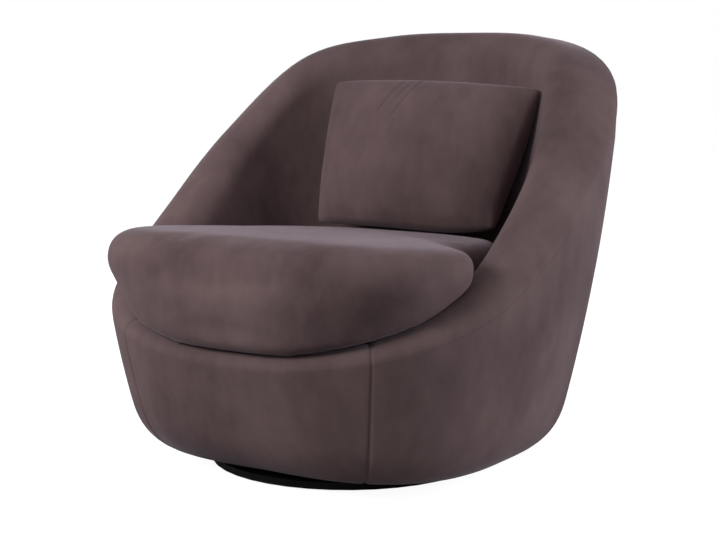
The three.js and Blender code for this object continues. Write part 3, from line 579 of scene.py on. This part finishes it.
def angles_between(start, stop, seams=()):
    """Even angles from start to stop, closer together beside a seam."""
    inner = [start + GRID_STEP * i for i in range(1, int((stop - start) / GRID_STEP) + 1)]
    near = [seam + side * step for seam in seams for step in SEAM_STEPS for side in (-1, 1)]
    ends = [start + PANEL_END, stop - PANEL_END]
    low, high = ends[0] + PANEL_END / 2, ends[1] - PANEL_END / 2
    kept = [a for a in inner if all(abs(a - seam) > SEAM_MARGIN for seam in seams)] + near
    return sorted(ends + [a for a in kept if low < a < high])


def section(angle, outline):
    a = math.radians(angle)
    return [(r * math.sin(a), -r * math.cos(a), z) for r, z in outline]


def mesh_object(name, vertices, faces, material):
    mesh = bpy.data.meshes.new(name)
    mesh.from_pydata(vertices, [], faces)
    made = bmesh.new()
    made.from_mesh(mesh)
    bmesh.ops.remove_doubles(made, verts=made.verts, dist=MERGE_DISTANCE)
    bmesh.ops.recalc_face_normals(made, faces=made.faces)
    made.to_mesh(mesh)
    made.free()
    mesh.polygons.foreach_set("use_smooth", [True] * len(mesh.polygons))
    mesh.set_sharp_from_angle(angle=math.radians(SHARP_ANGLE))
    mesh.materials.append(material)
    piece = bpy.data.objects.new(name, mesh)
    bpy.context.scene.collection.objects.link(piece)
    return piece


def lofted(name, sections, material, ring=False):
    """A closed solid through sections of equally many points: a ring, or a length with two flat ends."""
    count = len(sections[0])
    total = len(sections) * count
    faces = [
        tuple(k % total for k in (at + j, at + after, at + count + after, at + count + j))
        for at in range(0, total - (0 if ring else count), count)
        for j, after in ((j, (j + 1) % count) for j in range(count))
    ]
    if not ring:
        faces += [tuple(range(count))[::-1], tuple(range(total - count, total))]
    return mesh_object(name, [p for s in sections for p in s], faces, material)


def dress(piece, body, slot, *nodes):
    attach(piece, body)
    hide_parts(*nodes)
    return piece


def make_cover(name, start, stop, node, first=0, last=None, dips_at=None):
    seams = (start, stop)
    angles = angles_between(start, stop, seams)
    sections = [section(a, cover_outline(a, first, last, seams, dips_at)) for a in angles]
    cover = dress(lofted(name, sections, VELVET), "tub", "velvet", node)


def make_padding(name, start, stop, node):
    sections = [section(a, padding_outline(a)) for a in angles_between(start, stop)]
    padding = dress(lofted(name, sections, FOAM), "tub", "foam", node)


def make_tub():
    make_cover("velvet_front_panel", -SEAM_ANGLE, SEAM_ANGLE, "front_cover")
    make_cover("velvet_outer_right", SEAM_ANGLE, 180, "outer_cover_right", 0, SHOULDER + 1, SHOULDER)
    make_cover("velvet_outer_left", 180, 360 - SEAM_ANGLE, "outer_cover_left", 0, SHOULDER + 1, SHOULDER)
    make_cover("velvet_inner", SEAM_ANGLE, 360 - SEAM_ANGLE, "inner_cover", SHOULDER, None, SHOULDER)
    make_padding("padding_front", -FRONT_PAD_ANGLE, FRONT_PAD_ANGLE, "front_foam")
    make_padding("padding_arm_right", FRONT_PAD_ANGLE, BACK_PAD_ANGLE, "arm_foam_right")
    make_padding("padding_back", BACK_PAD_ANGLE, 360 - BACK_PAD_ANGLE, "back_foam")
    make_padding("padding_arm_left", -BACK_PAD_ANGLE, -FRONT_PAD_ANGLE, "arm_foam_left")


# Deck and dust cloth


def make_deck():
    """The pad over the springs, with a softly rounded edge."""
    low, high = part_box("deck_pad")
    rounding = (high.z - low.z) / 3
    quarter = [i / DECK_EDGE_STEPS * math.pi / 2 for i in range(DECK_EDGE_STEPS + 1)]
    sections = []
    for a in np.arange(0, 360, PLAIN_STEP):
        edge = inner_radius(a, low.z) - DECK_CLEARANCE
        points = [(0.0, low.z)] + [(edge * s, low.z) for s in DECK_RINGS]
        arc = [(rounding * (1 - math.sin(t)), rounding * (1 - math.cos(t))) for t in quarter]
        points += [(edge - inward, low.z + rise) for inward, rise in arc]
        points += [(edge - inward, high.z - rise) for inward, rise in arc[::-1]]
        points += [(edge * s, high.z) for s in DECK_RINGS[::-1]] + [(0.0, high.z)]
        sections.append(section(a, points))
    pad = lofted("deck_padding", sections, FOAM, ring=True)
    dress(pad, "tub", "foam", "deck_pad")


def make_dust_cloth():
    low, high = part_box("dust_cover")
    hole = DUST_CLOTH_HOLE
    shares = np.linspace(0, 1, DUST_CLOTH_STEPS + 1)
    sections = []
    for a in np.arange(0, 360, PLAIN_STEP):
        edge = outer_radius(a, HEM_HEIGHT) - HEM_TUCK - 2 * GAP
        sag = DUST_CLOTH_SAG * math.sin(math.radians(a * DUST_CLOTH_WAVES / 2)) ** 2
        points = [(mix(hole, edge, s), high.z - sag * math.sin(math.pi * s)) for s in shares]
        points += [(r, z - (high.z - low.z) / 2) for r, z in points[::-1]]
        sections.append(section(a, points))
    cloth = lofted("dust_cloth", sections, BLACK_CLOTH, ring=True)
    dress(cloth, "tub", "black_cloth", "dust_cover")


# Loose cushion and pillow


def tree_of(*names):
    """A search tree over CAD nodes."""
    vertices, faces = [], []
    for name in names:
        mesh = frame["nodes"][name].data
        first = len(vertices)
        vertices += [v.co.copy() for v in mesh.vertices]
        faces += [tuple(first + i for i in p.vertices) for p in mesh.polygons]
    return BVHTree.FromPolygons(vertices, faces)


def remeshed(piece, voxel, rounds):
    """Gives a piece a fine even mesh, with its edges a little smoothed."""
    remesh = piece.modifiers.new("remesh", "REMESH")
    remesh.mode = "VOXEL"
    remesh.voxel_size = voxel
    return relaxed(piece, rounds)


def relaxed(piece, rounds):
    relax = piece.modifiers.new("relax", "SMOOTH")
    relax.factor = 0.5
    relax.iterations = rounds
    return bake(piece)


def bake(piece):
    """Applies a piece's modifiers as they stand at this frame."""
    ready = piece.evaluated_get(bpy.context.evaluated_depsgraph_get())
    mesh = bpy.data.meshes.new_from_object(ready)
    piece.modifiers.clear()
    piece.data = mesh
    return piece


def points_of(piece):
    places = np.empty(len(piece.data.vertices) * 3, np.float32)
    piece.data.vertices.foreach_get("co", places)
    return places.reshape(-1, 3).astype(float)


def set_points(piece, places):
    piece.data.vertices.foreach_set("co", places.astype(np.float32).ravel())
    piece.data.update()


def swell(piece, pinned, cap, stretching, bending):
    """Fills a closed piece as stuffed cloth; no point moves further than the cap."""
    start = points_of(piece)
    group = piece.vertex_groups.new(name="pinned")
    for i, weight in enumerate(pinned):
        if weight > LEAST_PIN:
            group.add([i], float(weight), "REPLACE")
    cloth = piece.modifiers.new("cloth", "CLOTH")
    cloth.settings.use_pressure = True
    cloth.settings.uniform_pressure_force = STUFFING_PRESSURE
    cloth.settings.effector_weights.gravity = 0
    cloth.settings.vertex_group_mass = "pinned"
    cloth.settings.tension_stiffness = stretching
    cloth.settings.compression_stiffness = stretching
    cloth.settings.bending_stiffness = bending
    cloth.point_cache.frame_start = 1
    cloth.point_cache.frame_end = STUFFING_FRAMES
    for at in range(1, STUFFING_FRAMES + 1):
        bpy.context.scene.frame_set(at)
    bake(piece)
    bpy.context.scene.frame_set(1)
    move = points_of(piece) - start
    length = np.linalg.norm(move, axis=1)[:, None]
    set_points(piece, start + move * np.minimum(1, cap / np.maximum(length, 1e-9)))
    piece.vertex_groups.clear()


def keep_clear(piece, neighbours, clearance):
    """Moves a piece's points off its neighbours' faces, along those faces' own outward side."""
    places = points_of(piece)
    for _ in range(CLEARING_ROUNDS):
        for i, place in enumerate(places):
            spot, normal, _, _ = neighbours.find_nearest(Vector(place), CLEARING_REACH)
            if spot is None:
                continue
            out = (Vector(place) - spot).dot(normal)
            if out < clearance:
                places[i] += np.array(normal * (clearance - out))
    set_points(piece, places)


def finish_soft(piece, material, levels=1):
    if levels:
        piece.modifiers.new("fine", "SUBSURF").levels = levels
        piece.modifiers["fine"].render_levels = levels
        bake(piece)
    piece.data.polygons.foreach_set("use_smooth", [True] * len(piece.data.polygons))
    piece.data.materials.clear()
    piece.data.materials.append(material)


def face_split(piece, name, keep):
    """Takes the faces that keep refuses out of a piece, into a new piece."""
    other = piece.copy()
    other.data = piece.data.copy()
    other.name = name
    bpy.context.scene.collection.objects.link(other)
    for part, wanted in ((piece, True), (other, False)):
        made = bmesh.new()
        made.from_mesh(part.data)
        gone = [f for f in made.faces if keep(f.calc_center_median()) != wanted]
        bmesh.ops.delete(made, geom=gone, context="FACES")
        made.to_mesh(part.data)
        made.free()
    return other


def bed_outline(angle):
    """The tub's rim and inner face with the cushion's clearance, from halfway up the outside of the rim."""
    return offset(wall_outline(angle), -CUSHION_CLEARANCE)[SHOULDER + RIM_STEPS - BED_CREST :]


def bed_height(bed, radius):
    return np.interp(radius, bed[::-1, 0], bed[::-1, 1])


def bed_radius(bed, height):
    inner = bed[BED_CREST:][::-1]
    return np.interp(height, inner[:, 1], inner[:, 0])


def seat_top(angle, radius, share):
    y = -radius * math.cos(math.radians(angle))
    return SEAT_HEIGHT - SEAT_SLOPE * (y + FRONT_REACH) + SEAT_CROWN * (1 - share**2)


def cushion_plan(angle, side_inset, front_inset, squareness):
    reach = SEAT_REACH if faces_front(angle) else BACK_REACH
    return superellipse(angle, SEAT_HALF_WIDTH - side_inset, reach - front_inset, squareness)


def right_tip(angle):
    return smooth(angle, *SEAT_TIP[:2]) * (1 - smooth(angle, *SEAT_TIP[2:]))


def edge_width(angle):
    """The rounding along the top's edge is tighter within the arms, and already at the right tip."""
    narrowing = SEAT_TIP[:2] if faces_right(angle) else SEAT_LEFT_NARROWING
    return mix(SEAT_EDGE, SEAT_ARM_EDGE, smooth(away_from_front(angle), *narrowing))


def cushion_edge(angle, bed):
    """The cushion's edge, the height of its top there, the depth of its rounding, and its foot."""
    crest = bed[BED_CREST]
    level = seat_top(angle, crest[0], 1)
    in_arms = smooth(crest[1] - level + SEAT_BACK_EDGE, -SEAT_SHOULDER_RISE, 0)
    snug = bed_radius(bed, level - SEAT_BACK_EDGE - SEAT_SIDE_RUN)
    edge = mix(cushion_plan(angle, 0, 0, SEAT_SQUARENESS), snug, in_arms)
    reach = mix(cushion_plan(angle, *SEAT_INSETS, SEAT_FOOT_SQUARENESS), snug, in_arms)
    edge -= SEAT_TIP_TUCK * right_tip(angle)
    top = seat_top(angle, edge - edge_width(angle), 1)
    rounding = np.clip(top - crest[1] - SEAT_SIDE_RUN, SEAT_BACK_EDGE, SEAT_EDGE)
    rounding = mix(rounding, SEAT_ARM_EDGE, right_tip(angle))
    lowest = top - rounding - SEAT_SIDE_RUN
    foot = (reach, bed_height(bed, reach))
    if foot[1] > lowest:
        foot = (min(reach, bed_radius(bed, lowest)), lowest)
    lift = SEAT_FOOT_LIFT * (1 - smooth(away_from_front(angle), *SEAT_TIP[:2]))
    return edge, top, rounding, (foot[0], foot[1] + lift)


def evenly(points, count):
    """So many points at even steps along a line of points."""
    points = np.array(points)
    run = np.concatenate([[0], np.cumsum(np.linalg.norm(np.diff(points, axis=0), axis=1))])
    at = np.linspace(0, run[-1], count)
    return np.stack([np.interp(at, run, points[:, 0]), np.interp(at, run, points[:, 1])], 1)


def cushion_outline(angle):
    """The cushion from the middle of its top round its edge to the middle of its underside."""
    bed = bed_outline(angle)
    edge, top, rounding, foot = cushion_edge(angle, bed)
    flat = edge - edge_width(angle)
    points = [(flat * s, seat_top(angle, flat * s, s)) for s in np.linspace(0, 1, SEAT_TOP_STEPS)]
    for i in range(RIM_STEPS):
        t = (i + 1) / RIM_STEPS * math.pi / 2
        out, up = (wave(t) ** (2 / SEAT_EDGE_SQUARENESS) for wave in (math.sin, math.cos))
        points.append((mix(flat, edge, out), top - rounding * (1 - up)))
    corner = min(SEAT_FOOT_ROUNDING, (top - rounding - foot[1]) / 2)
    for i in range(SEAT_SIDE_STEPS):
        s = (i + 1) / SEAT_SIDE_STEPS
        height = mix(top - rounding, foot[1] + corner, s)
        points.append((mix(edge, foot[0], s**SEAT_SIDE_BEND), height))
    for i in range(SEAT_FOOT_STEPS):
        t = (i + 1) / SEAT_FOOT_STEPS * math.pi / 2
        points.append((foot[0] - corner * (1 - math.cos(t)), foot[1] + corner * (1 - math.sin(t))))
    start = points[-1]
    under = [start] + [tuple(p) for p in bed if p[0] < start[0] - SEAT_SIDE_RUN and p[1] > BED_HEIGHT]
    under += [(bed_radius(bed, BED_HEIGHT), BED_HEIGHT), (0.0, BED_HEIGHT)]
    return np.vstack([points, evenly(under, SEAT_UNDER_STEPS)[1:]])


def above_the_lining(place):
    return place.z > UNDERSIDE_TOP or place.xy.length > UNDERSIDE_RADIUS


def make_seat_cushion():
    angles = np.arange(0, 360, GRID_STEP / 2)
    sections = [section(a, cushion_outline(a)) for a in angles]
    cushion = remeshed(lofted("seat_cushion", sections, VELVET, ring=True), SEAT_VOXEL, rounds=4)
    heights = points_of(cushion)[:, 2]
    held = 1 - smooth(heights, FRONT_CREST, FRONT_CREST + SEAT_HELD_RISE)
    swell(cushion, held, SEAT_SWELL, *SEAT_STIFFNESS)
    relaxed(cushion, rounds=10)
    keep_clear(cushion, tree_of("inner_cover", "front_cover"), SEAT_REST_GAP)
    finish_soft(cushion, VELVET)
    under = face_split(cushion, "seat_cushion_underside", above_the_lining)
    finish_soft(under, LINING, levels=0)
    dress(cushion, "seat_cushion", "velvet", "seat_cushion_cover", "seat_cushion_foam")
    dress(under, "seat_cushion", "lining_cloth", "seat_cushion_base_cloth")


def own_axes(places):
    """The middle of a flat piece, and its directions across, up and out to the front."""
    middle = (places.min(0) + places.max(0)) / 2
    out, up, across = np.linalg.eigh(np.cov((places - middle).T))[1].T
    return middle, across * np.sign(across[0]), up * np.sign(up[2]), out * -np.sign(out[1])


def crease(piece):
    """Presses the gathers at the middle of the pillow's top edge into its front."""
    places = points_of(piece)
    middle, across, up, out = own_axes(places)
    u, v, w = ((places - middle) @ axis for axis in (across, up, out))
    for at, low, depth in PILLOW_CREASES:
        away = (u - at - CREASE_LEAN * (v - PILLOW_TOP)) / CREASE_WIDTH
        fade = mix(1, CREASE_TOP_SHARE, smooth(v, PILLOW_TOP - CREASE_TOP_RUN, PILLOW_TOP))
        along = smooth(v, low, low + CREASE_RUN) * fade
        press = depth * np.exp(-(away**2)) * along * (w > 0)
        places -= press[:, None] * out
    set_points(piece, places)


def plump(places):
    """Crowns the pillow's front and top edge, and presses its lower right corner in against the arm."""
    middle, across, up, out = own_axes(places)
    u, v, w = ((places - middle) @ axis for axis in (across, up, out))
    on_side, on_height = (np.clip(1 - (at / half) ** 2, 0, 1) for at, half in zip((u, v), PILLOW_HALF_SIZE))
    places = middle + (places - middle) * PILLOW_GROWTH
    places += np.outer(PILLOW_CROWN * on_side * on_height * (w > 0), out)
    places += np.outer(PILLOW_TOP_RISE * on_side * smooth(v, 0, PILLOW_HALF_SIZE[1]), up)
    corner = smooth(u, 0, PILLOW_HALF_SIZE[0]) * smooth(-v, -PILLOW_HALF_SIZE[1] / 2, PILLOW_HALF_SIZE[1])
    return places - np.outer(PILLOW_SQUEEZE * corner, across)


def make_pillow():
    mesh = frame["nodes"]["pillow_fill"].data.copy()
    pillow = bpy.data.objects.new("pillow", mesh)
    bpy.context.scene.collection.objects.link(pillow)
    remeshed(pillow, PILLOW_VOXEL, rounds=3)
    set_points(pillow, plump(points_of(pillow)))
    places = points_of(pillow)
    middle, across, up, _ = own_axes(places)
    u, v = (np.abs((places - middle) @ axis) / half for axis, half in zip((across, up), PILLOW_HALF_SIZE))
    swell(pillow, smooth(np.maximum(u, v), *PILLOW_RIM), PILLOW_SWELL, *PILLOW_STIFFNESS)
    relaxed(pillow, rounds=4)
    keep_clear(pillow, tree_of("inner_cover"), PILLOW_REST_GAP)
    finish_soft(pillow, VELVET)
    crease(pillow)
    nodes = ("pillow_fill", "pillow_front_cover", "pillow_back_cover")
    dress(pillow, "pillow", "velvet", *nodes)


# Kept CAD nodes, floor, light and camera


def finish_kept_nodes():
    slots = {s["node"]: s["material_slot"] for s in frame["record"]["subparts"]}
    for name, node in frame["nodes"].items():
        if slots[name] in MATERIALS:
            node.data.materials.clear()
            node.data.materials.append(MATERIALS[slots[name]])


def make_floor():
    corners = [(FLOOR_HALF * x, FLOOR_HALF * y, 0) for x, y in ((-1, -1), (1, -1), (1, 1), (-1, 1))]
    floor = mesh_object("floor", corners, [(0, 1, 2, 3)], floor_finish())
    floor.location.z = -FLOOR_DROP


def floor_finish():
    """A pale matt floor that the camera sees as white where no shadow falls."""
    material = bpy.data.materials.new("pale_floor")
    material.use_nodes = True
    nodes, links = material.node_tree.nodes, material.node_tree.links
    shader = nodes["Principled BSDF"]
    shader.inputs["Base Color"].default_value = (FLOOR_SHADE, FLOOR_SHADE, FLOOR_SHADE, 1)
    shader.inputs["Roughness"].default_value = 0.9
    shader.inputs["Specular IOR Level"].default_value = 0.1
    glow = nodes.new("ShaderNodeEmission")
    glow.inputs["Color"].default_value = (1, 1, 1, 1)
    glow.inputs["Strength"].default_value = FLOOR_GLOW
    seen = nodes.new("ShaderNodeLightPath")
    dark = nodes.new("ShaderNodeEmission")
    dark.inputs["Strength"].default_value = 0
    pick = nodes.new("ShaderNodeMixShader")
    links.new(seen.outputs["Is Camera Ray"], pick.inputs["Fac"])
    links.new(dark.outputs[0], pick.inputs[1])
    links.new(glow.outputs[0], pick.inputs[2])
    both = nodes.new("ShaderNodeAddShader")
    links.new(shader.outputs[0], both.inputs[0])
    links.new(pick.outputs[0], both.inputs[1])
    links.new(both.outputs[0], nodes["Material Output"].inputs["Surface"])
    return material


def make_world():
    """A plain studio: white to the camera and to reflections, and a softer light on everything else."""
    world = bpy.data.worlds.new("studio")
    bpy.context.scene.world = world
    world.use_nodes = True
    nodes, links = world.node_tree.nodes, world.node_tree.links
    ambient = nodes["Background"]
    ambient.inputs["Color"].default_value = (1, 1, 1, 1)
    ambient.inputs["Strength"].default_value = AMBIENT
    white = nodes.new("ShaderNodeBackground")
    white.inputs["Strength"].default_value = 1
    white.inputs["Color"].default_value = (1, 1, 1, 1)
    seen = nodes.new("ShaderNodeLightPath")
    widest = seen.outputs["Is Camera Ray"]
    for other in ("Is Glossy Ray", "Is Transmission Ray"):
        either = nodes.new("ShaderNodeMath")
        either.operation = "MAXIMUM"
        links.new(widest, either.inputs[0])
        links.new(seen.outputs[other], either.inputs[1])
        widest = either.outputs[0]
    pick = nodes.new("ShaderNodeMixShader")
    links.new(widest, pick.inputs["Fac"])
    links.new(ambient.outputs[0], pick.inputs[1])
    links.new(white.outputs[0], pick.inputs[2])
    links.new(pick.outputs[0], nodes["World Output"].inputs["Surface"])


def soft_box(name, azimuth, height, distance, size, power, tint=(1, 1, 1)):
    light = bpy.data.lights.new(name, "AREA")
    light.color = tint
    light.shape = "RECTANGLE"
    light.size, light.size_y = size
    light.energy = power
    lamp = bpy.data.objects.new(name, light)
    a = math.radians(azimuth)
    lamp.location = (distance * math.sin(a), -distance * math.cos(a), height)
    lamp.rotation_mode = "QUATERNION"
    lamp.rotation_quaternion = (LAMP_AIM - lamp.location).to_track_quat("-Z", "Y")
    bpy.context.scene.collection.objects.link(lamp)


def make_lights():
    soft_box("key", azimuth=-32, height=1.6, distance=2.6, size=(1.4, 1.1), power=66)
    cool = (0.92, 0.96, 1)
    soft_box("side", azimuth=104, height=0.9, distance=2.4, size=(1.0, 1.2), power=38, tint=cool)
    soft_box("back", azimuth=215, height=0.9, distance=2.6, size=(1.4, 1.2), power=30)


def make_camera():
    a = math.radians(CAMERA_AZIMUTH)
    camera = bpy.data.objects.new("camera", bpy.data.cameras.new("camera"))
    camera.data.lens = CAMERA_LENS
    camera.data.sensor_width = CAMERA_SENSOR
    camera.location = (CAMERA_DISTANCE * math.sin(a), -CAMERA_DISTANCE * math.cos(a), CAMERA_HEIGHT)
    camera.rotation_mode = "QUATERNION"
    facing = (CAMERA_TARGET - camera.location).to_track_quat("-Z", "Y")
    camera.rotation_quaternion = facing @ Quaternion((0, 0, 1), math.radians(CAMERA_ROLL))
    bpy.context.scene.collection.objects.link(camera)
    bpy.context.scene.camera = camera


make_tub()
make_deck()
make_dust_cloth()
make_seat_cushion()
make_pillow()
finish_kept_nodes()
make_floor()
make_world()
make_lights()
make_camera()
bpy.context.scene.view_settings.view_transform = "Standard"
